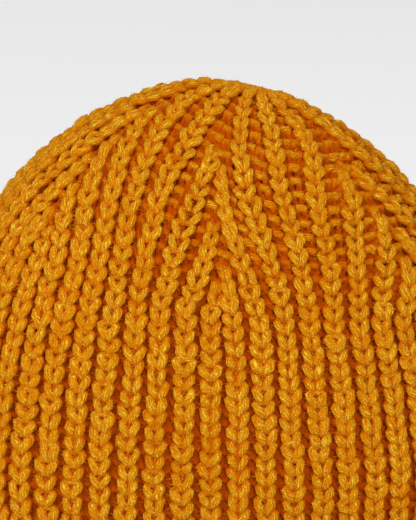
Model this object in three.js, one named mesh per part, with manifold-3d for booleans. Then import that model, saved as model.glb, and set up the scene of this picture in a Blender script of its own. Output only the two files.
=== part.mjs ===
// A chunky ribbed beanie standing on its rim, as one thick knitted wall that is open below.
// Millimetres, +Z up. The origin is the middle of the footprint, on the surface that the rim stands on.
// The front faces -Y, and +X is to its right as it is looked at.
//
// The wall is worked out as a knitter counts it: "round" is the share of the way round the hat,
// from the middle of the front towards +X, and "course" is the row of knitting, from the rim up.

import * as THREE from 'three';
import Module from 'manifold-3d';

// Outline: a dome on an oval that spreads a little below its shoulder.
const HEIGHT = 191.5;
const SHOULDER_HEIGHT = 86;
const HALF_WIDTH = 100;
const HALF_DEPTH = 58;
const OVAL_POWER = 2.3;
const DOME_OUT_POWER = 1.68;
const DOME_UP_POWER = 1.9;

// How the oval grows below the shoulder and draws in again at the rim, as a share of its size.
const SPREAD = [
  { height: 0, share: 1.045 },
  { height: 45, share: 1.08 },
  { height: 112, share: 1.0 },
];

// The closed end of the crown: where the gores meet, to the right of the middle and behind it, in a small
// gathered dent.
const POLE_OFFSET = 17;
const POLE_BACK = 9;
const POLE_PULL = 3;
const DENT_DEPTH = 1;
const DENT_RADIUS = 11;

// Knitting: courses from the rim to the closed end, and ribs in six gores.
const COURSES = 42;
const CROWN_START = 26;
const RIBS_PER_GORE = 9;
const LINE_OFFSET = 5;

// Ribs that each gore loses into the line at its left and into the one at its right, as the crown narrows.
const GORES = [
  { name: 'front right', lostLeft: 2, lostRight: 4 },
  { name: 'side right', lostLeft: 3, lostRight: 4 },
  { name: 'back right', lostLeft: 3, lostRight: 4 },
  { name: 'back left', lostLeft: 4, lostRight: 3 },
  { name: 'side left', lostLeft: 4, lostRight: 3 },
  { name: 'front left', lostLeft: 4, lostRight: 3 },
];
const LOSS_START = CROWN_START - 4;
const LOSS_COURSES = 14;

// The wall, and the relief of the ribs on it.
const WALL = 7.5;
const RIB_RELIEF = 1.5;
const RELIEF_FADE_START = 39;

// Mesh steps: a rib has a valley, a ridge and the two flanks between them.
const COLUMNS_PER_RIB = 4;
const BODY_COURSES = [0, 1, 6, 11, 16, 20, 23];
const LAST_RING = 41.3;
const INNER_COURSES = [0, 6, 12, 18, 23, 27, 31, 34, 37, 40];
const INNER_COLUMNS = 48;
const SECTION_STEPS = 1440;
const MERIDIAN_STEPS = 160;
const CUT_BELOW = 6;

const clamp = (value, low, high) => Math.min(high, Math.max(low, value));
const mix = (a, b, share) => a + (b - a) * share;
const ease = (share) => {
  const t = clamp(share, 0, 1);
  return t * t * (3 - 2 * t);
};

// Size of the oval at a height, eased between the rows of SPREAD.
function spreadAt(height) {
  const [rim, belly, shoulder] = SPREAD;
  if (height < belly.height) {
    return mix(rim.share, belly.share, Math.sin((Math.PI / 2) * clamp(height / belly.height, 0, 1)));
  }
  return mix(belly.share, shoulder.share, ease((height - belly.height) / (shoulder.height - belly.height)));
}

// One oval of given half sizes, walked round by arc length from the middle of the front towards +X.
class Oval {
  constructor(halfWidth, halfDepth) {
    this.halfWidth = halfWidth;
    this.halfDepth = halfDepth;
    this.points = [];
    this.lengths = [0];
    for (let i = 0; i <= SECTION_STEPS; i++) {
      const angle = (2 * Math.PI * i) / SECTION_STEPS;
      const side = Math.sin(angle);
      const back = -Math.cos(angle);
      this.points.push(
        new THREE.Vector2(
          halfWidth * Math.sign(side) * Math.abs(side) ** (2 / OVAL_POWER),
          halfDepth * Math.sign(back) * Math.abs(back) ** (2 / OVAL_POWER),
        ),
      );
      if (i > 0) {
        this.lengths.push(this.lengths[i - 1] + this.points[i].distanceTo(this.points[i - 1]));
      }
    }
    this.length = this.lengths[SECTION_STEPS];
  }

  at(round) {
    const wanted = (round - Math.floor(round)) * this.length;
    let low = 0;
    let high = SECTION_STEPS;
    while (high - low > 1) {
      const middle = (low + high) >> 1;
      if (this.lengths[middle] <= wanted) {
        low = middle;
      } else {
        high = middle;
      }
    }
    const share = (wanted - this.lengths[low]) / (this.lengths[high] - this.lengths[low]);
    return this.points[low].clone().lerp(this.points[high], share);
  }

  // How far out a point lies, as a share of the oval: 0 in the middle, 1 on it.
  reachOf(x, y) {
    const across = Math.abs(x / this.halfWidth) ** OVAL_POWER;
    const deep = Math.abs(y / this.halfDepth) ** OVAL_POWER;
    return (across + deep) ** (1 / OVAL_POWER);
  }
}

// A smooth skin of the hat, drawn in by "inset" all over: the outside has none, the hollow has the wall's.
class Skin {
  constructor(inset) {
    this.inset = inset;
    this.rise = HEIGHT - inset - SHOULDER_HEIGHT;
    this.oval = new Oval(HALF_WIDTH - inset, HALF_DEPTH - inset);
    this.meridians = new Map();
  }

  // A point on the line from the pole (0) over the shoulder (1) down to the rim (2).
  onMeridian(round, way) {
    const edge = this.oval.at(round);
    const reach = way < 1 ? Math.sin((Math.PI / 2) * way) ** (2 / DOME_OUT_POWER) : 1;
    const pull = (1 - reach) ** POLE_PULL;
    const x = edge.x * reach + POLE_OFFSET * pull;
    const y = edge.y * reach + POLE_BACK * pull;
    let height = SHOULDER_HEIGHT * (2 - way);
    if (way < 1) {
      const out = clamp(this.oval.reachOf(x, y), 0, 1);
      const fromPole = Math.hypot(x - POLE_OFFSET, y - POLE_BACK);
      const dent = DENT_DEPTH * Math.exp(-((fromPole / DENT_RADIUS) ** 2));
      height = SHOULDER_HEIGHT + this.rise * (1 - out ** DOME_OUT_POWER) ** (1 / DOME_UP_POWER) - dent;
    }
    const spread = spreadAt(height);
    return new THREE.Vector3(x * spread, y * spread, height);
  }

  // The same line as points with their distance from the pole.
  meridian(round) {
    const key = round.toFixed(6);
    if (!this.meridians.has(key)) {
      const points = [];
      const lengths = [0];
      for (let i = 0; i <= MERIDIAN_STEPS; i++) {
        points.push(this.onMeridian(round, (2 * i) / MERIDIAN_STEPS));
        if (i > 0) {
          lengths.push(lengths[i - 1] + points[i].distanceTo(points[i - 1]));
        }
      }
      this.meridians.set(key, { points, lengths });
    }
    return this.meridians.get(key);
  }

  // Courses are evenly spaced along each meridian, so they dip at the front and back of the oval.
  at(round, course) {
    const { points, lengths } = this.meridian(round);
    const wanted = lengths[MERIDIAN_STEPS] * (1 - course / COURSES);
    let i = 1;
    while (i < MERIDIAN_STEPS && lengths[i] < wanted) {
      i++;
    }
    const share = (wanted - lengths[i - 1]) / (lengths[i] - lengths[i - 1]);
    return points[i - 1].clone().lerp(points[i], share);
  }

  normalAt(round, course) {
    const roundStep = 0.5 / (GORES.length * RIBS_PER_GORE);
    const courseStep = 0.25;
    const low = clamp(course - courseStep, 0, COURSES - 3 * courseStep);
    const along = this.at(round + roundStep, course).sub(this.at(round - roundStep, course));
    const up = this.at(round, low + 2 * courseStep).sub(this.at(round, low));
    return along.cross(up).normalize();
  }
}

// Where a column of the mesh stands among the ribs of its gore at a course: whole numbers are
// valleys and halves are ridges. Ribs run into the lines between the gores as the crown narrows.
function ribAt(column, course) {
  const columnsPerGore = RIBS_PER_GORE * COLUMNS_PER_RIB;
  const gore = GORES[Math.floor(column / columnsPerGore)];
  const across = (column % columnsPerGore) / columnsPerGore;
  const loss = clamp((course - LOSS_START) / LOSS_COURSES, 0, 1);
  const left = gore.lostLeft * loss;
  const right = gore.lostRight * loss;
  return left + across * (RIBS_PER_GORE - left - right);
}

function reliefAt(column, course) {
  const fade = 1 - ease((course - RELIEF_FADE_START) / (COURSES - RELIEF_FADE_START));
  return -RIB_RELIEF * fade * Math.cos(2 * Math.PI * ribAt(column, course));
}

// A closed body from rings of points, listed from the bottom up, a flat cap below and a point on top.
// Each square between two rings is split from low left to high right, unless "leansLeft" says otherwise.
function closedBody(rings, bottom, top, leansLeft = () => false) {
  const columns = rings[0].length;
  const positions = [];
  const faces = [];
  rings.flat().forEach((p) => positions.push(p.x, p.y, p.z));
  positions.push(bottom.x, bottom.y, bottom.z, top.x, top.y, top.z);
  const bottomIndex = rings.length * columns;
  const topIndex = bottomIndex + 1;
  const lastRing = (rings.length - 1) * columns;
  for (let j = 0; j < columns; j++) {
    const next = (j + 1) % columns;
    for (let i = 0; i < rings.length - 1; i++) {
      const low = i * columns;
      const high = low + columns;
      if (leansLeft(i, j, next)) {
        faces.push(low + j, low + next, high + j, low + next, high + next, high + j);
      } else {
        faces.push(low + j, low + next, high + next, low + j, high + next, high + j);
      }
    }
    faces.push(bottomIndex, next, j);
    faces.push(topIndex, lastRing + j, lastRing + next);
  }
  return { positions: new Float32Array(positions), faces: new Uint32Array(faces) };
}

function outerBody() {
  const skin = new Skin(0);
  const columns = GORES.length * RIBS_PER_GORE * COLUMNS_PER_RIB;
  const lineShare = LINE_OFFSET / skin.oval.length;
  const crownCourses = Array.from({ length: COURSES - CROWN_START }, (_, i) => CROWN_START - 0.5 + i);
  const courses = [...BODY_COURSES, ...crownCourses, LAST_RING];
  const reliefs = courses.map((course) =>
    Array.from({ length: columns }, (_, column) => reliefAt(column, course)),
  );
  const rings = courses.map((course, i) =>
    reliefs[i].map((relief, column) => {
      const round = lineShare + column / columns;
      const normal = skin.normalAt(round, course);
      if (course === 0) {
        normal.setZ(0).normalize();
      }
      return skin.at(round, course).addScaledVector(normal, relief);
    }),
  );
  // A split runs along the ribs, between the two corners whose relief is more alike.
  const leansLeft = (i, j, next) => {
    const right = Math.abs(reliefs[i][j] - reliefs[i + 1][next]);
    const left = Math.abs(reliefs[i][next] - reliefs[i + 1][j]);
    return left < right;
  };
  return closedBody(rings, new THREE.Vector3(0, 0, 0), skin.at(0, COURSES), leansLeft);
}

function hollowBody() {
  const skin = new Skin(WALL);
  const ringAt = (course) =>
    Array.from({ length: INNER_COLUMNS }, (_, column) => skin.at(column / INNER_COLUMNS, course));
  const mouth = ringAt(0).map((p) => new THREE.Vector3(p.x, p.y, -CUT_BELOW));
  const rings = [mouth, ...INNER_COURSES.map(ringAt)];
  return closedBody(rings, new THREE.Vector3(0, 0, -CUT_BELOW), skin.at(0, COURSES));
}

const wasm = await Module();
wasm.setup();

function solidOf({ positions, faces }) {
  return new wasm.Manifold(new wasm.Mesh({ numProp: 3, vertProperties: positions, triVerts: faces }));
}

function geometryOf(solid) {
  const mesh = solid.getMesh();
  const geometry = new THREE.BufferGeometry();
  geometry.setAttribute('position', new THREE.BufferAttribute(mesh.vertProperties, mesh.numProp));
  geometry.setIndex(new THREE.BufferAttribute(mesh.triVerts, 1));
  return geometry;
}

// The ribs end a little unevenly round the oval, so the footprint is centred on the origin.
function centred(geometry) {
  geometry.computeBoundingBox();
  const middle = geometry.boundingBox.getCenter(new THREE.Vector3());
  return geometry.translate(-middle.x, -middle.y, 0);
}

function knitShell() {
  const geometry = centred(geometryOf(solidOf(outerBody()).subtract(solidOf(hollowBody()))));
  const wool = new THREE.MeshStandardMaterial({ color: 0xc9780f, roughness: 0.95, metalness: 0 });
  const mesh = new THREE.Mesh(geometry, wool);
  mesh.name = 'knit_shell';
  return mesh;
}

const beanie = new THREE.Group();
beanie.add(knitShell());

export default beanie;
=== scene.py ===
"""A chunky ribbed beanie in mustard wool, standing on its rim and knitted stitch by stitch.

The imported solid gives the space. This script knits the yarn over it: every course is one closed round of
plied yarn that makes a knit stitch on each rib and purl stitches in each valley. Sizes are in metres.
A "round" is the share of the way round the hat from the middle of the front towards +X, and a "course" is
a row of knitting, counted from the rim. A stitch's "depth" is its place along the cloth's outward normal,
so it is below 0 in the cloth. "Sunk" is the other way round: how far into the cloth a point lies.
"""

import math
import bpy
import numpy as np
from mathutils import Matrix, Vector


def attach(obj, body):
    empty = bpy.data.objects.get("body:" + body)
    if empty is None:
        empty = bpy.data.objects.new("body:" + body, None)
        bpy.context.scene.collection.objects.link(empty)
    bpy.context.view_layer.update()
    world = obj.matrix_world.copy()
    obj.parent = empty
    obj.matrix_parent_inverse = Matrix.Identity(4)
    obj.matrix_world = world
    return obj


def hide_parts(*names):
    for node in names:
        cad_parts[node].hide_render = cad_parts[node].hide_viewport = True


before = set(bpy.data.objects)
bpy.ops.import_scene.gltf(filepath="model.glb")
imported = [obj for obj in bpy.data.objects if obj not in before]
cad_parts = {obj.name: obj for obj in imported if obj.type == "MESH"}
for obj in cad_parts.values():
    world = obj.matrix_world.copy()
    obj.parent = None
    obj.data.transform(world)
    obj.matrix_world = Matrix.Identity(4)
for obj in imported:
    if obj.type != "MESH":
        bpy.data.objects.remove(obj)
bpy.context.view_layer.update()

MM = 0.001

# The outline: a dome on an oval that spreads a little below its shoulder.
HEIGHT = 191.5 * MM
SHOULDER_HEIGHT = 86 * MM
HALF_WIDTH = 100 * MM
HALF_DEPTH = 58 * MM
OVAL_POWER = 2.3
DOME_OUT_POWER = 1.68
DOME_UP_POWER = 1.9
SPREAD_RIM = 1.045
SPREAD_BELLY = 1.08
BELLY_HEIGHT = 45 * MM
SPREAD_END = 112 * MM
POLE_OFFSET = 20 * MM
POLE_BACK = 9 * MM
POLE_PULL = 3
DENT_DEPTH = 1.3 * MM
DENT_OFFSET = 12 * MM
DENT_RADIUS = 11 * MM

# The knitting: six gores of ribs, each losing ribs at its two lines on the way up.
COURSES = 42
RIBS_PER_GORE = 9
LINE_OFFSET = 5 * MM
LOST_LEFT = np.array([2, 3, 3, 4, 4, 4])
LOST_RIGHT = np.array([4, 4, 4, 3, 3, 3])
GORES = len(LOST_LEFT)
LOSS_START = 22
LOSS_COURSES = 14

# The courses lean: they climb towards the hat's left as it is seen from the front.
COURSE_LEAN = 1.44
LEAN_START = 10
LEAN_END = 28

# The lines between gores drift sideways over a few courses of the crown.
LINE_DRIFT = 3.5 * MM
DRIFT_COURSE = 32.5
DRIFT_SPAN = 4.5

# The ribs beside a line, in ribs: how near it one ends, how short of it a stitch stops, and how far and
# where the ribs are drawn towards it.
LINE_GAP = 0.06
LINE_MARGIN = 0.02
LINE_PULL = 0.28
PULL_PLACE = 0.9
PULL_SPAN = 0.5

# Random draws: their seed, and how many a stitch takes, one of them spare.
SEED = 7
KNIT_DRAWS = 7
PURL_DRAWS = 3

# The yarn and its courses.
YARN_RADIUS = 1.82 * MM
YARN_SIDES = 6
YARN_LUMPS = 0.09
ROW = 5.3 * MM
FIRST_COURSE = 1.05
LAST_COURSE = 40.4
FACE_DEPTH = 1.8 * MM
STITCH_TURN = 0.8
SLANT_LIMIT = 0.7

# Knit stitches, on the ribs. Rises are in rows.
KNIT_WIDTH = 7.1 * MM
KNIT_SHARE = 0.75
KNIT_LEAN = 0.24
LOOP_RISE = 0.6
LEG_DEPTH = 0.9 * MM
LEG_FULLNESS = 0.04
ARCH_POWER = 0.3
KNIT_POINTS = 14

# How a stitch differs from the next: its lean, place, rise, depth and thickness.
LEAN_WOBBLE = 0.15
PLACE_WOBBLE = 0.045
RISE_WOBBLE = 0.11
DEPTH_WOBBLE = 0.28 * MM
THICKNESS_WOBBLE = 0.07

# Stitches beside a line: how the head of a rib's last one rises less and dives, and how deep a leg is
# tucked under.
HEAD_SPAN = 0.17
HEAD_LOWER = 0.45
HEAD_DIVE = 2.6 * MM
TUCK_DEPTH = 1.5 * MM

# Purl stitches, in the valleys. A wide valley is shallower, with more relief and fuller yarn.
PURL_RISE = 0.6
PURL_LEAN = 1.25 * MM
PURL_LEAN_SHARE = 0.3
PURL_LEG_DEPTH = 1.2 * MM
PURL_DEPTH = 3.9 * MM
PURL_STEP = 4.6 * MM
PURL_YARN = 0.97
PURL_POINTS = 9
PURL_RISE_WOBBLE = 0.06
PURL_THICKNESS_WOBBLE = 0.05
NARROW_REACH = 3.2 * MM
WIDE_REACH = 5.4 * MM
WIDE_VALLEY = 0.4
WIDE_LEG = 0.4
WIDE_YARN = 0.12

# The crown's finer knitting: where it starts and is full, how far all its valleys are as shallow as wide
# ones, and how much narrower its stitches and thinner its yarn are.
CROWN_FIRST = 19
CROWN_FULL = 29
CROWN_VALLEY = 0.85
CROWN_WIDTH = 0.14
CROWN_SHARE_LESS = 0.09
CROWN_YARN = 0.17

# Bands of courses: name, first and the one after the last.
BANDS = (
    ("courses_rim", 0, 8),
    ("courses_low", 8, 16),
    ("courses_middle", 16, 24),
    ("courses_high", 24, 31),
    ("courses_crown", 31, COURSES),
)

# The cast-on edge along the rim.
EDGE_RADIUS = 1.3 * MM
EDGE_TWIST = 0.9 * MM
EDGE_HEIGHT = 2.6 * MM
EDGE_DEPTH = 3.2 * MM
EDGE_POINTS = 10

# The last loops, drawn together in the middle of the crown. Rises are in rows.
GATHER_COURSE = 41.2
GATHER_RISE = 0.62
GATHER_WOBBLE = 0.05
GATHER_DEPTH = 0.6 * MM
GATHER_DIVE = 4 * MM
GATHER_RADIUS = 1.45 * MM
GATHER_POINTS = 14

# The wool behind the stitches and the soft face inside: how far in they lie, how much of that depth shades
# the wool, the courses of their rows, and the rolled lip that joins them.
BACK_DEPTH = 4.1 * MM
BACK_RELIEF = 2.8 * MM
BACK_SHADE = 0.9
BACK_COLUMNS_PER_RIB = 4
BACK_FIRST = 0.35
BACK_LAST = 41
BACK_ROWS = 80
BACK_TOP = 41.9
INSIDE_DEPTH = 8.4 * MM
LIP_COURSE = 0.2
LIP_ROLL = 0.3

# Wool: the length in which the yarn twists once, its drawn-out fibres, its plies, and its fine and broad
# noises with the share that each has in the relief and the tone.
TWIST_LEAD = 26 * MM
TWIST_WANDER = 0.22
WANDER_SCALE = 330
FIBRE_LENGTH = 1.7 * MM
FIBRE_ROUND = 2.4
PLIES = 9
PLY_SHARE = 0.08
FUZZ_SCALE = 1500
FUZZ_SHARE = 0.6
BROAD_SCALE = 90
BROAD_SHARE = 0.14
RELIEF_HEIGHT = 0.8 * MM

# The wool's tones: how the relief is spread over them, how depth and creases change them, and the tones
# themselves from crease to crest. Lower relief is darker and redder, partly the yarn's mottled colour and
# partly painted shade; depth in the cloth paints shade over that, and creases get painted shade and
# painted bounce light.
TONE_GAIN = 1.2
RELIEF_MIDDLE = 0.87
TONE_MIDDLE = 0.595
# Painted shade: yarn that lies deeper in the cloth is darker, down to the lowest tone.
SUNK_DEPTH = 4.5 * MM
SUNK_SHADE = 0.75
# Painted shade and painted bounce light: where the yarn is closed in, within a reach, its colour is mixed
# towards a darker, redder tone.
CREASE_REACH = 3.5 * MM
PAINTED_CREASE_SHARE = 0.85
PAINTED_CREASE_TONE = (0.62, 0.085, 0.0008, 1)
WOOL_AND_SHADE_TONES = (
    (0.0, 0.37, 0.045, 0.0006),
    (0.3, 0.46, 0.095, 0.0007),
    (0.62, 0.495, 0.2, 0.0014),
    (1.0, 0.80, 0.605, 0.0500),
)
GLOSS_TINT = (1.0, 0.6, 0.1, 1)
SHEEN_TINT = (1.0, 0.38, 0.01, 1)

# A Mix node's sockets for colours: its share, its first and second colour, and its result.
MIX_SHARE = 0
MIX_FIRST = 6
MIX_SECOND = 7
MIX_RESULT = 2

# The brushed face inside, in red-brown tones darker than the yarn: painted shade.
NAP_SCALE = 700
NAP_HEIGHT = 0.4 * MM
NAP_SHEEN_TINT = (1.0, 0.55, 0.08, 1)
NAP_PAINTED_SHADE_TONES = (
    (0.3, 0.34, 0.06, 0.001),
    (0.7, 0.46, 0.11, 0.0015),
)

# Loose fibres that stand off the yarn: name, first course, the one after the last, and how many. Their lift
# and length are spread over one whole such size, from a least share of it.
FUZZ_BANDS = (
    ("fuzz_low", 0, 18, 46000),
    ("fuzz_high", 18, COURSES, 46000),
)
FUZZ_LENGTH = 1.4 * MM
FUZZ_RADIUS = 0.11 * MM
FUZZ_LIFT = 0.6
LEAST_LENGTH = 0.5
LEAST_LIFT = 0.4
FUZZ_DEEPEST = 1.6 * MM
FUZZ_HIGHEST = 1 * MM
FUZZ_CURL = 0.55
FUZZ_SCATTER = 0.2 * MM
# The loose fibres' tones from raised roots to deep ones; the deeper, darker and redder tone is painted
# shade.
FUZZ_PAINTED_SHADE_TONES = (
    (0.0, 0.82, 0.430, 0.024),
    (1.0, 0.64, 0.240, 0.005),
)

# Fibres that cross the valleys from the flanks of the ribs.
CROSSING_COUNT = 14000
CROSSING_FACING = 0.45
CROSSING_TOP = 0.2 * MM
CROSSING_BOTTOM = 2.6 * MM
CROSSING_LENGTH = 2.4 * MM
CROSSING_RADIUS = 0.1 * MM

# Steps of the worked-out skin, and where its meridians end: 0 is the pole, 1 the shoulder and 2 the rim.
OVAL_STEPS = 1440
ROUND_STEPS = 720
MERIDIAN_STEPS = 260
MERIDIAN_END = 2.12
COURSE_STEPS = 6

# The photograph's view: looking at the upper front of the hat from about 20 degrees above.
VIEW_ELEVATION = math.radians(20)
VIEW_DISTANCE = 1.2
VIEW_WIDTH = 150 * MM
VIEW_CENTRE = Vector((-0.6 * MM, -50 * MM, 139 * MM))
SENSOR_WIDTH = 36

# Floor and light. Each lamp has its name, its place, the side of its square and its power.
FLOOR_HALF = 12.0
FLOOR_TONE = (0.80, 0.80, 0.80, 1)
SKY_STRENGTH = 0.78
LIT_PLACE = (0, 0, 120 * MM)
LAMPS = (
    ("key", (-0.8, -1.1, 1.45), 0.55, 18),
    ("fill", (0.4, -1.5, 0.75), 1.0, 12),
)


def ease(share):
    """A share from 0 to 1, eased at both ends: 3t squared less 2t cubed."""
    t = np.clip(share, 0, 1)
    return t * t * (3 - 2 * t)


def oval(half_width, half_depth):
    """An oval from the front's middle towards +X, with its length so far: x = w sin^(2/p) and
    y = -d cos^(2/p), each power keeping its sign."""
    angle = np.linspace(0, 2 * np.pi, OVAL_STEPS + 1)
    side = np.sin(angle)
    back = -np.cos(angle)
    x = half_width * np.sign(side) * np.abs(side) ** (2 / OVAL_POWER)
    y = half_depth * np.sign(back) * np.abs(back) ** (2 / OVAL_POWER)
    length = np.concatenate(([0], np.cumsum(np.hypot(np.diff(x), np.diff(y)))))
    return length, x, y


def spread_at(height):
    """How much wider than its shoulder the oval is: a quarter sine from the rim, then an eased fall."""
    rise = np.sin(np.pi / 2 * np.clip(height / BELLY_HEIGHT, 0, 1))
    fall = ease((height - BELLY_HEIGHT) / (SPREAD_END - BELLY_HEIGHT))
    low = SPREAD_RIM + (SPREAD_BELLY - SPREAD_RIM) * rise
    high = SPREAD_BELLY + (1 - SPREAD_BELLY) * fall
    return np.where(height < BELLY_HEIGHT, low, high)


class Skin:
    """The hat's smooth skin as a grid of points and outward normals over rounds and courses.

    A meridian runs from the pole over the shoulder to the rim. On the dome its reach is sin^(2/q) of the
    way, pulled towards the pole near the top. Its height is rise * (1 - out^q)^(1/u) less the dent, where
    out is how far out on the oval the pulled place lies. Courses are spaced evenly along each meridian.
    """

    def __init__(self, inset):
        rise = HEIGHT - inset - SHOULDER_HEIGHT
        half_width = HALF_WIDTH - inset
        half_depth = HALF_DEPTH - inset
        length, x, y = oval(half_width, half_depth)
        self.oval_length = length[-1]
        rounds = np.linspace(0, 1, ROUND_STEPS + 1)
        edge_x = np.interp(rounds * length[-1], length, x)[:, None]
        edge_y = np.interp(rounds * length[-1], length, y)[:, None]
        way = np.linspace(0, MERIDIAN_END, MERIDIAN_STEPS + 1)[None, :]
        reach = np.sin(np.pi / 2 * np.minimum(way, 1)) ** (2 / DOME_OUT_POWER)
        pull = (1 - reach) ** POLE_PULL
        plan_x = edge_x * reach + POLE_OFFSET * pull
        plan_y = edge_y * reach + POLE_BACK * pull
        across = np.abs(plan_x / half_width) ** OVAL_POWER + np.abs(plan_y / half_depth) ** OVAL_POWER
        out = np.clip(across ** (1 / OVAL_POWER), 0, 1)
        from_dent = np.hypot(plan_x - DENT_OFFSET, plan_y - POLE_BACK) / DENT_RADIUS
        dent = DENT_DEPTH * np.exp(-(from_dent**2))
        dome = SHOULDER_HEIGHT + rise * (1 - out**DOME_OUT_POWER) ** (1 / DOME_UP_POWER) - dent
        height = np.where(way < 1, dome, SHOULDER_HEIGHT * (2 - way))
        spread = spread_at(height)
        line = np.stack([plan_x * spread, plan_y * spread, height], axis=-1)
        steps = np.linalg.norm(np.diff(line, axis=1), axis=-1)
        walked = np.concatenate([np.zeros((len(rounds), 1)), np.cumsum(steps, axis=1)], axis=1)
        rim_index = np.argmin(np.abs(way[0] - 2))
        self.courses = np.arange(-COURSE_STEPS, COURSES * COURSE_STEPS + 1) / COURSE_STEPS
        share = 1 - self.courses / COURSES
        self.points = np.zeros((len(rounds), len(share), 3))
        for i in range(len(rounds)):
            for k in range(3):
                self.points[i, :, k] = np.interp(share * walked[i, rim_index], walked[i], line[i, :, k])
        along = np.roll(self.points[:-1], -1, axis=0) - np.roll(self.points[:-1], 1, axis=0)
        along = np.concatenate([along, along[:1]])
        up = np.gradient(self.points, axis=1)
        normal = np.cross(along, up)
        normal[:, -1] = normal[:, -2].mean(axis=0)
        self.normals = normal / np.linalg.norm(normal, axis=-1, keepdims=True)

    def at(self, rounds, courses):
        """Points and outward normals at the given rounds and courses, between the grid's own."""
        r = (np.asarray(rounds) % 1.0) * ROUND_STEPS
        c = np.clip(np.asarray(courses), -1, COURSES - 1e-6) * COURSE_STEPS + COURSE_STEPS
        i = np.minimum(r.astype(int), ROUND_STEPS - 1)
        j = np.minimum(c.astype(int), self.points.shape[1] - 2)
        fr = (r - i)[..., None]
        fc = (c - j)[..., None]
        result = []
        for grid in (self.points, self.normals):
            low = grid[i, j] * (1 - fr) + grid[i + 1, j] * fr
            high = grid[i, j + 1] * (1 - fr) + grid[i + 1, j + 1] * fr
            result.append(low * (1 - fc) + high * fc)
        point, normal = result
        return point, normal / np.linalg.norm(normal, axis=-1, keepdims=True)


outside = Skin(0)
LINE_ROUND = LINE_OFFSET / outside.oval_length


def lean_at(rounds, courses):
    """How many rows higher a course stands here: a sine round the hat, eased in above the rim and out again
    over the crown."""
    low = ease(courses / LEAN_START)
    high = 1 - ease((courses - LEAN_END) / (COURSES - LEAN_END))
    return -COURSE_LEAN * np.sin(2 * np.pi * rounds) * low * high


def cloth_at(rounds, courses):
    """Points and outward normals of the knitted cloth's face, its courses leaning."""
    return outside.at(rounds, courses + lean_at(rounds, courses))


def lost_at(course):
    """Share of its ribs to lose that a gore has lost by a course: an even run from its start to its end."""
    return np.clip((course - LOSS_START) / LOSS_COURSES, 0, 1)


def drift_at(course):
    """How far the lines between gores stand off their place at a course, as a share of the round."""
    return LINE_DRIFT / outside.oval_length * np.exp(-(((course - DRIFT_COURSE) / DRIFT_SPAN) ** 2))


def round_of(gore, rib, course):
    """Where a rib of a gore stands at a course: the ribs left in the gore share its width evenly, and the
    lines between gores drift sideways over a few rows of the crown."""
    loss = lost_at(course)
    left = LOST_LEFT[gore] * loss
    right = LOST_RIGHT[gore] * loss
    across = (rib - left) / (RIBS_PER_GORE - left - right)
    return LINE_ROUND - drift_at(course) + (gore + across) / GORES


def crown_share(course):
    """How far a course is knitted as the crown is, finer and with shallower valleys, eased from 0 to 1."""
    return ease((course - CROWN_FIRST) / (CROWN_FULL - CROWN_FIRST))


def pitch_of(gore, course):
    """Width of one rib of a gore at a course, measured on the cloth across the gore's middle."""
    middle = RIBS_PER_GORE / 2 + (LOST_LEFT[gore] - LOST_RIGHT[gore]) / 2 * lost_at(course)
    a, _ = cloth_at(round_of(gore, middle - 0.5, course), course)
    b, _ = cloth_at(round_of(gore, middle + 0.5, course), course)
    return np.linalg.norm(b - a, axis=-1)


def to_lines(gore, middle, course):
    """How far a rib's middle is from the line on its left and the one on its right, in ribs."""
    loss = lost_at(course)
    return middle - LOST_LEFT[gore] * loss, RIBS_PER_GORE - LOST_RIGHT[gore] * loss - middle


def drawn_in(gore, rib, course):
    """A place in ribs, drawn towards the lines of its gore by a bell curve of its distance from each, the
    most where the gore has lost half of what it loses: 4 s (1 - s) for a lost share s."""
    to_left, to_right = to_lines(gore, rib, course)
    left_pull = np.exp(-(((to_left - PULL_PLACE) / PULL_SPAN) ** 2))
    right_pull = np.exp(-(((to_right - PULL_PLACE) / PULL_SPAN) ** 2))
    loss = lost_at(course)
    return rib + LINE_PULL * 4 * loss * (1 - loss) * (right_pull - left_pull)


class Ribs:
    """The ribs still in their gores at a course, in order round the hat.

    Each has its gore, the left and right edge of its knit stitch in ribs, how near its middle is to a line,
    whether that line is on its left, whether the rib ends here, its slant, its stitch's width on the cloth
    and which rib comes after it. A stitch that slants is wider, and one beside a line stops short of it.
    """

    def __init__(self, course):
        middle = np.tile(np.arange(RIBS_PER_GORE) + 0.5, GORES)
        gore = np.repeat(np.arange(GORES), RIBS_PER_GORE)
        to_left, to_right = to_lines(gore, middle, course)
        kept = np.minimum(to_left, to_right) > LINE_GAP
        gore, middle, to_left, to_right = gore[kept], middle[kept], to_left[kept], to_right[kept]
        pitch = np.array([pitch_of(g, course) for g in range(GORES)])[gore]
        self.slant = slant_of(gore, middle, course)
        wanted = KNIT_WIDTH * (1 - CROWN_WIDTH * crown_share(course)) * np.sqrt(1 + self.slant**2)
        widest = KNIT_SHARE - CROWN_SHARE_LESS * crown_share(course)
        half = np.minimum(widest, wanted / pitch) / 2
        self.gore = gore
        self.left = drawn_in(gore, middle - np.minimum(half, to_left - LINE_MARGIN), course)
        self.right = drawn_in(gore, middle + np.minimum(half, to_right - LINE_MARGIN), course)
        self.near = np.minimum(to_left, to_right)
        self.line_on_left = to_left < to_right
        self.ends = np.minimum(*to_lines(gore, middle, course + 1)) <= LINE_GAP
        self.width = (self.right - self.left) * pitch
        self.after = (np.arange(len(gore)) + 1) % len(gore)


def slant_of(gore, rib, course):
    """How far a rib moves sideways for each step that it climbs, both measured on the cloth."""
    here, normal = cloth_at(round_of(gore, rib, course), course)
    above, _ = cloth_at(round_of(gore, rib, course + 0.5), course + 0.5)
    below, _ = cloth_at(round_of(gore, rib, course - 0.5), course - 0.5)
    beside, _ = cloth_at(round_of(gore, rib + 0.1, course), course)
    along = beside - here
    along /= np.linalg.norm(along, axis=-1, keepdims=True)
    up = np.cross(normal, along)
    climb = above - below
    slant = np.sum(climb * along, axis=-1) / np.abs(np.sum(climb * up, axis=-1))
    return np.clip(slant, -SLANT_LIMIT, SLANT_LIMIT)


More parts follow.
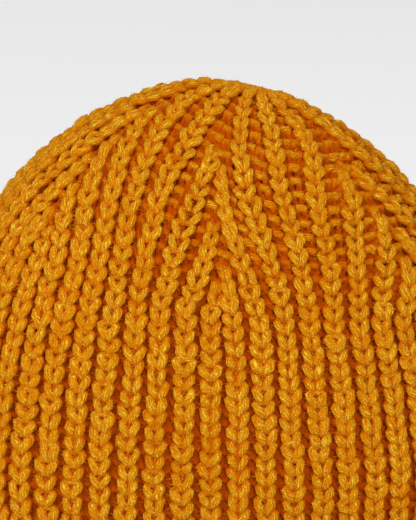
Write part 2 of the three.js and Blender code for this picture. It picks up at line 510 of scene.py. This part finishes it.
def knit_stitches(course, ribs, rng):
    """Knit stitches of one course, as arrays over stitch and step: place in the course's order, round, row,
    depth and radius.

    t runs from 0 to 1 over a stitch. Across is t + a sin(4 pi t), the rise is -h cos(2 pi t), the depth is
    an arch sin(pi t)^p over the valleys beside it, and the legs come forward of the feet and the head by
    d cos(4 pi t). The stitch turns with the slant of its rib, the leg beside a line is tucked under, and
    the head of a rib's last stitch dives.
    """
    wobble = rng.normal(0, 1, (len(ribs.gore), KNIT_DRAWS))[:, :, None]
    t = (np.arange(KNIT_POINTS) / KNIT_POINTS)[None, :]
    gore = ribs.gore[:, None]
    left = ribs.left[:, None]
    right = ribs.right[:, None]
    lean = KNIT_LEAN * (1 + LEAN_WOBBLE * wobble[:, 0])
    share = t + lean * np.sin(4 * np.pi * t) + PLACE_WOBBLE * wobble[:, 1]
    head = np.exp(-(((t - 0.5) / HEAD_SPAN) ** 2)) * ribs.ends[:, None]
    rise = LOOP_RISE * (1 + RISE_WOBBLE * wobble[:, 2]) * (1 - HEAD_LOWER * head)
    turn = -STITCH_TURN * (ribs.slant * ribs.width / ROW)[:, None]
    row = course - rise * np.cos(2 * np.pi * t) + turn * (share - 0.5)
    start = round_of(gore, left, row)
    rounds = start + (round_of(gore, right, row) - start) * share
    tuck = TUCK_DEPTH * (1 - np.clip(ribs.near, 0, 1)[:, None]) ** 2
    beside = np.where(ribs.line_on_left[:, None], 1 - t, t)
    depth = PURL_DEPTH / 2 * (np.sin(np.pi * t) ** ARCH_POWER - 1) - LEG_DEPTH * np.cos(4 * np.pi * t)
    depth = depth - tuck * beside - HEAD_DIVE * head + DEPTH_WOBBLE * wobble[:, 3]
    uneven = wobble[:, 4] + wobble[:, 5] * np.cos(2 * np.pi * t)
    fullness = 1 - LEG_FULLNESS * np.cos(4 * np.pi * t) + THICKNESS_WOBBLE * uneven
    order = np.arange(len(ribs.gore))[:, None] + 0 * t
    return order, rounds, row, depth, YARN_RADIUS * fullness


def purl_stitches(course, ribs, rng):
    """Purl stitches of one course, in arrays like those of the knit ones. A purl is a knit stitch turned
    back to front, so its legs go behind by d cos(4 pi t), and it is set deeper, in the valley after its
    rib. A wide valley holds two or more, and its floor sinks by sin(pi w) over the way w across."""
    after = ribs.after
    valley_start = round_of(ribs.gore, ribs.right, course)
    valley_stop = round_of(ribs.gore[after], ribs.left[after], course)
    reach = np.linalg.norm(cloth_at(valley_stop, course)[0] - cloth_at(valley_start, course)[0], axis=-1)
    purls = np.maximum(1, np.round(reach / PURL_STEP)).astype(int)
    owner = np.repeat(np.arange(len(purls)), purls)
    place = (np.arange(len(owner)) - np.repeat(np.cumsum(purls) - purls, purls))[:, None]
    parts = purls[owner][:, None]
    wobble = rng.normal(0, 1, (len(owner), PURL_DRAWS))[:, :, None]
    t = (np.arange(PURL_POINTS) / PURL_POINTS)[None, :]
    way = (place + t) / parts
    turn = -STITCH_TURN * ribs.slant * ribs.width / ROW / 2
    lift = turn[owner][:, None] * (1 - way) - turn[after[owner]][:, None] * way
    rise = PURL_RISE * (1 + PURL_RISE_WOBBLE * wobble[:, 0])
    row = course - rise * np.cos(2 * np.pi * t) + lift
    start = round_of(ribs.gore[owner][:, None], ribs.right[owner][:, None], row)
    stop = round_of(ribs.gore[after[owner]][:, None], ribs.left[after[owner]][:, None], row)
    stop = np.where(stop < start - 0.5, stop + 1, stop)
    lean = np.minimum(PURL_LEAN, PURL_LEAN_SHARE * reach[owner][:, None] / parts) / outside.oval_length
    rounds = start + (stop - start) * way + lean * np.sin(4 * np.pi * t)
    inside = np.sin(np.pi * way)
    behind = inside**0.5
    wide = ease((reach - NARROW_REACH) / (WIDE_REACH - NARROW_REACH))[owner][:, None]
    shallow = np.maximum(wide, CROWN_VALLEY * crown_share(course))
    valley = PURL_DEPTH * (1 - (1 - WIDE_VALLEY) * shallow)
    depth = -PURL_DEPTH / 2 * (1 - inside) - valley * inside
    leg_depth = PURL_LEG_DEPTH * (1 + WIDE_LEG * wide)
    depth = depth + leg_depth * behind * np.cos(4 * np.pi * t) - LEG_DEPTH * (1 - behind)
    tuck = TUCK_DEPTH * (1 - np.clip(ribs.near, 0, 1)) ** 2
    depth = depth - (tuck * ~ribs.line_on_left)[owner][:, None] * (1 - way)
    depth = depth - (tuck * ribs.line_on_left)[after[owner]][:, None] * way
    order = owner[:, None] + (place + 1) / (parts + 1) + 0 * t
    fullness = PURL_YARN + WIDE_YARN * wide + PURL_THICKNESS_WOBBLE * wobble[:, 1]
    return order, rounds, row, depth, YARN_RADIUS * fullness + 0 * t


def course_path(course, rng):
    """Centre line of one course of yarn, its knit and purl stitches in turn, as points, outward normals,
    radii and depths."""
    ribs = Ribs(course)
    knit = knit_stitches(course, ribs, rng)
    purl = purl_stitches(course, ribs, rng)
    both = [np.concatenate([k.ravel(), p.ravel()]) for k, p in zip(knit, purl)]
    order, rounds, rows, depth, radius = both
    sequence = np.argsort(order, kind="stable")
    slim = 1 - CROWN_YARN * crown_share(course)
    depth = depth[sequence] - FACE_DEPTH * slim
    point, normal = cloth_at(rounds[sequence], rows[sequence])
    return point + normal * depth[:, None], normal, radius[sequence] * slim, depth


def new_mesh(name, points, quads, uv=None, sunk=None):
    """A smooth-shaded mesh object from an array of points and one of faces that all have as many corners,
    with the yarn's map and how far each point is sunk in the cloth, where these are given."""
    mesh = bpy.data.meshes.new(name)
    mesh.vertices.add(len(points))
    mesh.vertices.foreach_set("co", np.ascontiguousarray(points, np.float32).ravel())
    mesh.loops.add(quads.size)
    mesh.loops.foreach_set("vertex_index", np.ascontiguousarray(quads, np.int32).ravel())
    mesh.polygons.add(len(quads))
    mesh.polygons.foreach_set("loop_start", np.arange(0, quads.size, quads.shape[1], dtype=np.int32))
    mesh.update(calc_edges=True)
    mesh.polygons.foreach_set("use_smooth", np.ones(len(quads), bool))
    if uv is not None:
        layer = mesh.uv_layers.new(name="yarn")
        layer.data.foreach_set("uv", np.ascontiguousarray(uv, np.float32).ravel())
    if sunk is not None:
        attribute = mesh.attributes.new("sunk", "FLOAT", "POINT")
        attribute.data.foreach_set("value", np.ascontiguousarray(sunk, np.float32).ravel())
    mesh.validate()
    piece = bpy.data.objects.new(name, mesh)
    bpy.context.scene.collection.objects.link(piece)
    return piece


def closed_tube(points, normals, radii, depths, sides, rng):
    """A closed round of yarn: a circle carried along the path, its first side facing out of the cloth.

    The map's first coordinate is the length along the yarn in metres and the second goes once round it. The
    last array is how far each point of the tube is sunk below the cloth's face.
    """
    turn = 2 * np.pi * np.arange(sides) / sides
    count = len(points)
    tangent = np.roll(points, -1, axis=0) - np.roll(points, 1, axis=0)
    tangent /= np.linalg.norm(tangent, axis=1, keepdims=True)
    side = np.cross(tangent, normals)
    side /= np.linalg.norm(side, axis=1, keepdims=True)
    out = np.cross(side, tangent)
    ring = np.cos(turn)[None, :, None] * out[:, None] + np.sin(turn)[None, :, None] * side[:, None]
    lumps = radii[:, None] * (1 + YARN_LUMPS * rng.normal(0, 1, (count, sides)))
    skin = points[:, None] + lumps[..., None] * ring
    raised = depths[:, None] + radii[:, None] * np.sum(ring * normals[:, None], axis=-1)
    step = np.linalg.norm(np.roll(points, -1, axis=0) - points, axis=1)
    length = np.concatenate([[0], np.cumsum(step)])
    i = np.arange(count)[:, None]
    k = np.arange(sides)[None, :]
    beside = (k + 1) % sides
    here = i * sides
    after = (i + 1) % count * sides
    quads = np.stack([here + k, here + beside, after + beside, after + k], axis=-1)
    u = np.broadcast_to(length[:-1, None], (count, sides))
    u_after = np.broadcast_to(length[1:, None], (count, sides))
    v = np.broadcast_to(k / sides, (count, sides))
    v_beside = v + 1 / sides
    uv = np.stack([u, v, u, v_beside, u_after, v_beside, u_after, v], axis=-1)
    return skin.reshape(-1, 3), quads.reshape(-1, 4), uv.reshape(-1, 2), -raised.ravel()


def joined(tubes):
    """Several tubes as one set of arrays, the faces of each moved past the points before it."""
    starts = np.cumsum([0] + [len(tube[0]) for tube in tubes[:-1]])
    quads = np.concatenate([tube[1] + start for tube, start in zip(tubes, starts)])
    points, uv, sunk = (np.concatenate([tube[k] for tube in tubes]) for k in (0, 2, 3))
    return points, quads, uv, sunk


def knit_courses():
    """The cast-on edge, the gather and every course in its band, each band one mesh, and the loose fibres
    that stand off them."""
    rng = np.random.default_rng(SEED)
    levels = np.arange(FIRST_COURSE, LAST_COURSE + 0.01, 1.0)
    tubes = [closed_tube(*course_path(level, rng), YARN_SIDES, rng) for level in levels]
    edge = new_mesh("cast_on_edge", *joined(cast_on_edge(rng)))
    gather = new_mesh("crown_gather", *crown_gather(rng))
    pieces = []
    for name, first, last in BANDS:
        points, quads, uv, sunk = joined(tubes[first:last])
        pieces.append(new_mesh(name, points, quads, uv, sunk))
    hairs = [fuzz(name, tubes[first:last], count, rng) for name, first, last, count in FUZZ_BANDS]
    hairs.append(crossing_fibres(tubes, rng))
    return [edge, gather] + pieces, hairs


def cast_on_edge(rng):
    """The cast-on edge: two strands that lie along the rim and twist round each other once in each rib.
    Each circles the rim's line at a small radius, by cos and sin of its angle, half a turn from the
    other."""
    turns = GORES * RIBS_PER_GORE
    count = turns * EDGE_POINTS
    rounds = np.arange(count) / count
    line, normal = outside.at(rounds, np.full(count, EDGE_HEIGHT / ROW))
    normal[:, 2] = 0
    normal /= np.linalg.norm(normal, axis=1, keepdims=True)
    line = line - normal * EDGE_DEPTH
    line[:, 2] = EDGE_HEIGHT
    strands = []
    for start in (0, np.pi):
        angle = 2 * np.pi * turns * rounds + start
        points = line + normal * (EDGE_TWIST * np.cos(angle))[:, None]
        points[:, 2] += EDGE_TWIST * np.sin(angle)
        depth = EDGE_TWIST * np.cos(angle) - EDGE_DEPTH
        strands.append(closed_tube(points, normal, np.full(count, EDGE_RADIUS), depth, YARN_SIDES, rng))
    return strands


def crown_gather(rng):
    """The last loops, drawn together as one closed strand: t runs from 0 to 1 over each. It has climbed
    c = (1 - cos(2 pi t)) / 2 of its height, and its head dives into the middle of the crown by c
    squared."""
    ribs = Ribs(LAST_COURSE)
    start = round_of(ribs.gore, ribs.left, LAST_COURSE)[:, None]
    stop = np.roll(start, -1, axis=0)
    stop[-1] += 1
    t = (np.arange(GATHER_POINTS) / GATHER_POINTS)[None, :]
    climb = (1 - np.cos(2 * np.pi * t)) / 2
    rounds = start + (stop - start) * (t + KNIT_LEAN * np.sin(4 * np.pi * t))
    wobble = GATHER_WOBBLE * rng.normal(0, 1, start.shape)
    row = GATHER_COURSE - GATHER_RISE + 2 * GATHER_RISE * climb + wobble
    depth = (-GATHER_DEPTH - GATHER_DIVE * climb**2 + 0 * rounds).ravel()
    point, normal = outside.at(rounds.ravel(), (row + 0 * rounds).ravel())
    radius = np.full(len(depth), GATHER_RADIUS)
    return closed_tube(point + normal * depth[:, None], normal, radius, depth, YARN_SIDES, rng)


def faces_of(tubes):
    """The middle, the unit normal, the area and the direction along the yarn of every face, and how far it
    is sunk."""
    points, quads, _, sunk = joined(tubes)
    a, b, c, d = (points[quads[:, k]] for k in range(4))
    area = np.cross(b - a, d - a)
    size = np.linalg.norm(area, axis=1)
    along = d - a
    along /= np.linalg.norm(along, axis=1, keepdims=True)
    return (a + b + c + d) / 4, area / size[:, None], size, along, sunk[quads[:, 0]]


def needles(name, root, normal, heading, length, radius, deep):
    """Thin needles with three sides and a closed foot, each from its root along its heading."""
    heading = heading / np.linalg.norm(heading, axis=1, keepdims=True)
    side = np.cross(heading, normal)
    side /= np.linalg.norm(side, axis=1, keepdims=True)
    other = np.cross(heading, side)
    foot = root - normal * radius
    thirds = (0, 2 * math.pi / 3, 4 * math.pi / 3)
    corners = [foot + radius * (math.cos(turn) * side + math.sin(turn) * other) for turn in thirds]
    corners.append(foot + heading * length)
    points = np.stack(corners, axis=1).reshape(-1, 3)
    start = 4 * np.arange(len(root))[:, None, None]
    faces = start + np.array([[0, 2, 1], [0, 1, 3], [1, 2, 3], [2, 0, 3]])[None]
    return new_mesh(name, points, faces.reshape(-1, 3), sunk=np.repeat(deep, 4))


def fuzz(name, tubes, count, rng):
    """Loose fibres, rooted in the yarn's skin where it isn't deep in the cloth. Each leans along the yarn,
    one way or the other, and lifts off it."""
    root, normal, size, along, deep = faces_of(tubes)
    reachable = size * (deep < FUZZ_DEEPEST)
    chosen = rng.choice(len(root), count, p=reachable / reachable.sum())
    root = root[chosen] + rng.normal(0, FUZZ_SCATTER, (count, 3))
    lift = FUZZ_LIFT * (LEAST_LIFT + rng.random((count, 1)))
    heading = along[chosen] * rng.choice([-1, 1], count)[:, None] + normal[chosen] * lift
    heading += rng.normal(0, FUZZ_CURL, (count, 3))
    length = FUZZ_LENGTH * (LEAST_LENGTH + rng.random((count, 1)))
    return needles(name, root, normal[chosen], heading, length, FUZZ_RADIUS, deep[chosen])


def crossing_fibres(tubes, rng):
    """Fibres that cross the valleys from the flanks of the ribs. Each heads along the tangent of the oval,
    which stands square to (|x/w|^(p-1) / w, |y/d|^(p-1) / d), to the side that its root faces."""
    root, normal, size, _, deep = faces_of(tubes)
    x, y = root[:, 0], root[:, 1]
    out_x = np.sign(x) * np.abs(x / HALF_WIDTH) ** (OVAL_POWER - 1) / HALF_WIDTH
    out_y = np.sign(y) * np.abs(y / HALF_DEPTH) ** (OVAL_POWER - 1) / HALF_DEPTH
    tangent = np.stack([-out_y, out_x, 0 * x], axis=1)
    tangent /= np.linalg.norm(tangent, axis=1, keepdims=True)
    facing = np.sum(tangent * normal, axis=1)
    flank = size * (np.abs(facing) > CROSSING_FACING) * (deep > CROSSING_TOP) * (deep < CROSSING_BOTTOM)
    chosen = rng.choice(len(root), CROSSING_COUNT, p=flank / flank.sum())
    heading = tangent[chosen] * np.sign(facing[chosen])[:, None]
    heading += rng.normal(0, FUZZ_CURL, heading.shape)
    length = CROSSING_LENGTH * (LEAST_LENGTH + rng.random((len(chosen), 1)))
    upright = np.tile([0.0, 0.0, 1.0], (len(chosen), 1))
    return needles("crossing_fibres", root[chosen], upright, heading, length, CROSSING_RADIUS, deep[chosen])


def rib_wave(gore, across, course):
    """Where a place lies among its gore's ribs, as a wave from -1 in a valley to 1 on a rib."""
    loss = lost_at(course)
    left = LOST_LEFT[gore] * loss
    rib = left + across * (RIBS_PER_GORE - left - LOST_RIGHT[gore] * loss)
    return -np.cos(2 * np.pi * rib)


def pole_faces(width):
    """Faces that close a small ring of points straight across: each joins two neighbours of the first half
    to the two that mirror them in the second."""
    k = np.arange(width // 2 - 1)
    return np.stack([k, k + 1, width - 2 - k, width - 1 - k], axis=-1)


def soft_inside(dense_wool, brushed_nap):
    """The plain soft face inside and the dense wool behind the stitches: two skins of the hat, closed at
    the top and joined at the rim by a rolled lip. The one behind the stitches rises under each rib by a
    cosine and sinks in the valleys, and its fibres run round the hat."""
    columns = RIBS_PER_GORE * BACK_COLUMNS_PER_RIB
    gore = np.repeat(np.arange(GORES), columns)
    across = np.tile(np.arange(columns) / columns, GORES)
    inner = Skin(INSIDE_DEPTH)
    levels = np.concatenate([np.linspace(BACK_FIRST, BACK_LAST, BACK_ROWS), [BACK_TOP]])
    layers = []
    depths = []
    for level in levels[::-1]:
        rounds = LINE_ROUND - drift_at(level) + (gore + across) / GORES
        point, normal = cloth_at(rounds, level)
        depth = BACK_DEPTH - BACK_RELIEF * rib_wave(gore, across, level)
        layers.append(point - normal * depth[:, None])
        # Painted shade: the wool behind the stitches is darkened by its depth.
        depths.append(BACK_SHADE * depth)
    rounds = LINE_ROUND + (gore + across) / GORES
    lip, normal = outside.at(rounds, np.full(len(rounds), LIP_COURSE))
    lip = lip - normal * BACK_DEPTH
    lip_inner, _ = inner.at(rounds, np.full(len(rounds), LIP_COURSE))
    layers.append(lip * (1 - LIP_ROLL) + lip_inner * LIP_ROLL)
    layers.append(lip * LIP_ROLL + lip_inner * (1 - LIP_ROLL))
    layers += [inner.at(rounds, np.full(len(rounds), level))[0] for level in levels]
    grid = np.array(layers)
    sunk = np.zeros(grid.shape[:2])
    sunk[: len(depths)] = depths

    width = len(rounds)
    row, column = np.meshgrid(np.arange(len(grid) - 1), np.arange(width), indexing="ij")
    beside = (column + 1) % width
    here = row * width
    after = here + width
    corners = np.stack([here + column, after + column, after + beside, here + beside], axis=-1)
    top_cap = pole_faces(width)
    inner_cap = (len(grid) - 1) * width + top_cap[:, ::-1]
    quads = np.concatenate([corners.reshape(-1, 4), top_cap, inner_cap])

    along = outside.oval_length / width
    up = ROW / (2 * np.pi * YARN_RADIUS)
    left, right = column * along, (column + 1) * along
    low, high = row * up, (row + 1) * up
    uv = np.stack([left, low, left, high, right, high, right, low], axis=-1).reshape(-1, 2)
    uv = np.concatenate([uv, np.zeros((4 * len(top_cap) + 4 * len(inner_cap), 2))])

    piece = new_mesh("soft_inside", grid.reshape(-1, 3), quads, uv, sunk)
    inner_faces = np.ones(len(quads), np.int32)
    inner_faces[: len(depths) * width] = 0
    inner_faces[corners.size // 4 : corners.size // 4 + len(top_cap)] = 0
    piece.data.materials.append(dense_wool)
    piece.data.materials.append(brushed_nap)
    piece.data.polygons.foreach_set("material_index", inner_faces)
    return piece


def value_node(tree, operation, *inputs):
    """A Math node whose inputs are numbers or other nodes' outputs."""
    node = tree.nodes.new("ShaderNodeMath")
    node.operation = operation
    for socket, value in zip(node.inputs, inputs):
        if isinstance(value, (int, float)):
            socket.default_value = value
        else:
            tree.links.new(value, socket)
    return node.outputs[0]


def smooth_step(tree, value, low, high):
    """A value eased from 0 at its low end to 1 at its high end."""
    node = tree.nodes.new("ShaderNodeMapRange")
    node.interpolation_type = "SMOOTHSTEP"
    node.inputs["From Min"].default_value = low
    node.inputs["From Max"].default_value = high
    tree.links.new(value, node.inputs["Value"])
    return node.outputs["Result"]


def noise_node(tree, place, scale, detail, roughness=0.5):
    """A Noise texture read at a place, which is another node's vector."""
    node = tree.nodes.new("ShaderNodeTexNoise")
    node.inputs["Scale"].default_value = scale
    node.inputs["Detail"].default_value = detail
    node.inputs["Roughness"].default_value = roughness
    tree.links.new(place, node.inputs["Vector"])
    return node.outputs[0]


def colour_ramp(tree, tone, stops):
    """A colour ramp over a tone from 0 to 1, from a table of (place, red, green, blue)."""
    node = tree.nodes.new("ShaderNodeValToRGB")
    ramp = node.color_ramp
    while len(ramp.elements) < len(stops):
        ramp.elements.new(0.5)
    for element, (place, red, green, blue) in zip(ramp.elements, stops):
        element.position = place
        element.color = (red, green, blue, 1)
    tree.links.new(tone, node.inputs[0])
    return node.outputs[0]


def bumped(tree, shader, height, strength, distance):
    """Give a shader a relief of a height from 0 to 1."""
    bump = tree.nodes.new("ShaderNodeBump")
    bump.inputs["Strength"].default_value = strength
    bump.inputs["Distance"].default_value = distance
    tree.links.new(height, bump.inputs["Height"])
    tree.links.new(bump.outputs[0], shader.inputs["Normal"])


def sunk_share(tree, low, high):
    """How deep the wool lies in the cloth, as a share from 0 to 1 between two depths."""
    depth = tree.nodes.new("ShaderNodeAttribute")
    depth.attribute_name = "sunk"
    return smooth_step(tree, depth.outputs["Fac"], low, high)


def new_material(name):
    """A material, its node tree and its shader."""
    material = bpy.data.materials.new(name)
    material.use_nodes = True
    return material, material.node_tree, material.node_tree.nodes["Principled BSDF"]


def wool(name):
    """Plied mustard wool.

    Fibres run along the yarn and twist round it once in each lead: the noise is read at the length and at
    the cos and sin of the twisted angle, drawn out along the yarn. The plies are a sine of their number
    times that angle. Lower fibres are darker and redder, partly the yarn's mottled colour and partly
    painted shade. Yarn deep in the cloth is darker by painted shade, and creases between strands are mixed
    towards a red tone, painted shade and painted bounce light.
    """
    material, tree, shader = new_material(name)
    uv = tree.nodes.new("ShaderNodeUVMap")
    uv.uv_map = "yarn"
    split = tree.nodes.new("ShaderNodeSeparateXYZ")
    tree.links.new(uv.outputs["UV"], split.inputs[0])
    u = split.outputs[0]
    v = split.outputs[1]
    place = tree.nodes.new("ShaderNodeTexCoord").outputs["Object"]
    wander = noise_node(tree, place, WANDER_SCALE, detail=1)
    turns = value_node(tree, "MULTIPLY_ADD", u, 1 / TWIST_LEAD, v)
    turns = value_node(tree, "MULTIPLY_ADD", wander, TWIST_WANDER, turns)
    angle = value_node(tree, "MULTIPLY", turns, 2 * math.pi)
    fibre_place = tree.nodes.new("ShaderNodeCombineXYZ")
    across = value_node(tree, "MULTIPLY", value_node(tree, "COSINE", angle), FIBRE_ROUND)
    out = value_node(tree, "MULTIPLY", value_node(tree, "SINE", angle), FIBRE_ROUND)
    tree.links.new(value_node(tree, "MULTIPLY", u, 1 / FIBRE_LENGTH), fibre_place.inputs[0])
    tree.links.new(across, fibre_place.inputs[1])
    tree.links.new(out, fibre_place.inputs[2])
    fibre = noise_node(tree, fibre_place.outputs[0], 1.0, detail=3, roughness=0.6)
    ply = value_node(tree, "SINE", value_node(tree, "MULTIPLY", angle, float(PLIES)))
    fine = noise_node(tree, place, FUZZ_SCALE, detail=2, roughness=0.6)
    broad = noise_node(tree, place, BROAD_SCALE, detail=2)
    relief = value_node(tree, "MULTIPLY_ADD", ply, PLY_SHARE, fibre)
    relief = value_node(tree, "MULTIPLY_ADD", fine, FUZZ_SHARE, relief)
    # Tone follows the relief: lower fibres darker and redder, partly the yarn's mottled colour and partly
    # painted shade between fibres.
    tone = value_node(tree, "MULTIPLY_ADD", broad, BROAD_SHARE, relief)
    tone = value_node(tree, "MULTIPLY_ADD", tone, TONE_GAIN, TONE_MIDDLE - TONE_GAIN * RELIEF_MIDDLE)
    # Painted shade: yarn deep in the cloth is darker.
    tone = value_node(tree, "MULTIPLY_ADD", sunk_share(tree, 0, SUNK_DEPTH), -SUNK_SHADE, tone)
    crease = tree.nodes.new("ShaderNodeAmbientOcclusion")
    crease.samples = 4
    crease.inputs["Distance"].default_value = CREASE_REACH
    # Painted shade and painted bounce light: closed-in creases are mixed towards a darker red tone.
    painted_crease = tree.nodes.new("ShaderNodeMix")
    painted_crease.data_type = "RGBA"
    painted_crease_mask = value_node(tree, "MULTIPLY_ADD", crease.outputs["AO"], -PAINTED_CREASE_SHARE, PAINTED_CREASE_SHARE)
    tree.links.new(painted_crease_mask, painted_crease.inputs[MIX_SHARE])
    tree.links.new(colour_ramp(tree, tone, WOOL_AND_SHADE_TONES), painted_crease.inputs[MIX_FIRST])
    painted_crease.inputs[MIX_SECOND].default_value = PAINTED_CREASE_TONE
    tree.links.new(painted_crease.outputs[MIX_RESULT], shader.inputs["Base Color"])
    bumped(tree, shader, relief, strength=1.0, distance=RELIEF_HEIGHT)
    shader.inputs["Roughness"].default_value = 0.9
    shader.inputs["Specular IOR Level"].default_value = 0.06
    shader.inputs["Specular Tint"].default_value = GLOSS_TINT
    shader.inputs["Sheen Weight"].default_value = 0.2
    shader.inputs["Sheen Roughness"].default_value = 0.5
    shader.inputs["Sheen Tint"].default_value = SHEEN_TINT
    return material


def loose_fibre(name):
    """The loose fibres: the wool's light tone, darker and redder where they are rooted deeper, a painted
    shade.
    """
    material, tree, shader = new_material(name)
    sunk = sunk_share(tree, -FUZZ_HIGHEST, FUZZ_DEEPEST)
    tree.links.new(colour_ramp(tree, sunk, FUZZ_PAINTED_SHADE_TONES), shader.inputs["Base Color"])
    shader.inputs["Roughness"].default_value = 0.8
    shader.inputs["Specular IOR Level"].default_value = 0.05
    shader.inputs["Specular Tint"].default_value = GLOSS_TINT
    return material


def nap(name):
    """The soft brushed face inside, mottled and raised by one fine noise, darker than the yarn as painted
    shade.
    """
    material, tree, shader = new_material(name)
    place = tree.nodes.new("ShaderNodeTexCoord").outputs["Object"]
    fine = noise_node(tree, place, NAP_SCALE, detail=5)
    tree.links.new(colour_ramp(tree, fine, NAP_PAINTED_SHADE_TONES), shader.inputs["Base Color"])
    bumped(tree, shader, fine, strength=0.6, distance=NAP_HEIGHT)
    shader.inputs["Roughness"].default_value = 0.95
    shader.inputs["Specular IOR Level"].default_value = 0.03
    shader.inputs["Sheen Weight"].default_value = 0.1
    shader.inputs["Sheen Tint"].default_value = NAP_SHEEN_TINT
    return material


def plain_floor():
    """A wide pale floor."""
    points = FLOOR_HALF * np.array([[-1.0, -1.0, 0.0], [1.0, -1.0, 0.0], [1.0, 1.0, 0.0], [-1.0, 1.0, 0.0]])
    floor = new_mesh("floor", points, np.array([[0, 1, 2, 3]]))
    material, _, shader = new_material("pale_floor")
    shader.inputs["Base Color"].default_value = FLOOR_TONE
    shader.inputs["Roughness"].default_value = 0.9
    floor.data.materials.append(material)


def soft_light(name, place, size, power):
    """A square soft light at a place, turned to the hat."""
    data = bpy.data.lights.new(name, "AREA")
    data.size = size
    data.energy = power
    lamp = bpy.data.objects.new(name, data)
    lamp.location = place
    lamp.rotation_euler = (Vector(LIT_PLACE) - Vector(place)).to_track_quat("-Z", "Y").to_euler()
    bpy.context.scene.collection.objects.link(lamp)


def photo_camera():
    """A camera at the photograph's angle, whose frame is as wide as the view at the hat."""
    data = bpy.data.cameras.new("photo_camera")
    data.sensor_fit = "HORIZONTAL"
    data.sensor_width = SENSOR_WIDTH
    data.lens = SENSOR_WIDTH * VIEW_DISTANCE / VIEW_WIDTH
    data.clip_end = 20
    camera = bpy.data.objects.new("photo_camera", data)
    back = Vector((0, -math.cos(VIEW_ELEVATION), math.sin(VIEW_ELEVATION)))
    camera.location = VIEW_CENTRE + back * VIEW_DISTANCE
    camera.rotation_euler = (-back).to_track_quat("-Z", "Y").to_euler()
    bpy.context.scene.collection.objects.link(camera)
    bpy.context.scene.camera = camera


def studio():
    """An even white sky and two soft lights in front of the hat."""
    world = bpy.data.worlds.new("studio")
    bpy.context.scene.world = world
    world.use_nodes = True
    background = world.node_tree.nodes["Background"]
    background.inputs["Color"].default_value = (1, 1, 1, 1)
    background.inputs["Strength"].default_value = SKY_STRENGTH
    for lamp in LAMPS:
        soft_light(*lamp)
    bpy.context.scene.view_settings.view_transform = "Standard"


photo_camera()
studio()
plain_floor()

wool_yarn = wool("wool_yarn")
loose_wool = loose_fibre("loose_wool")
courses, hairs = knit_courses()
for piece in courses + hairs:
    piece.data.materials.append(wool_yarn if piece in courses else loose_wool)
    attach(piece, "root")
    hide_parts("knit_shell")

inside = soft_inside(wool_yarn, nap("soft_nap"))
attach(inside, "root")
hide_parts("knit_shell")
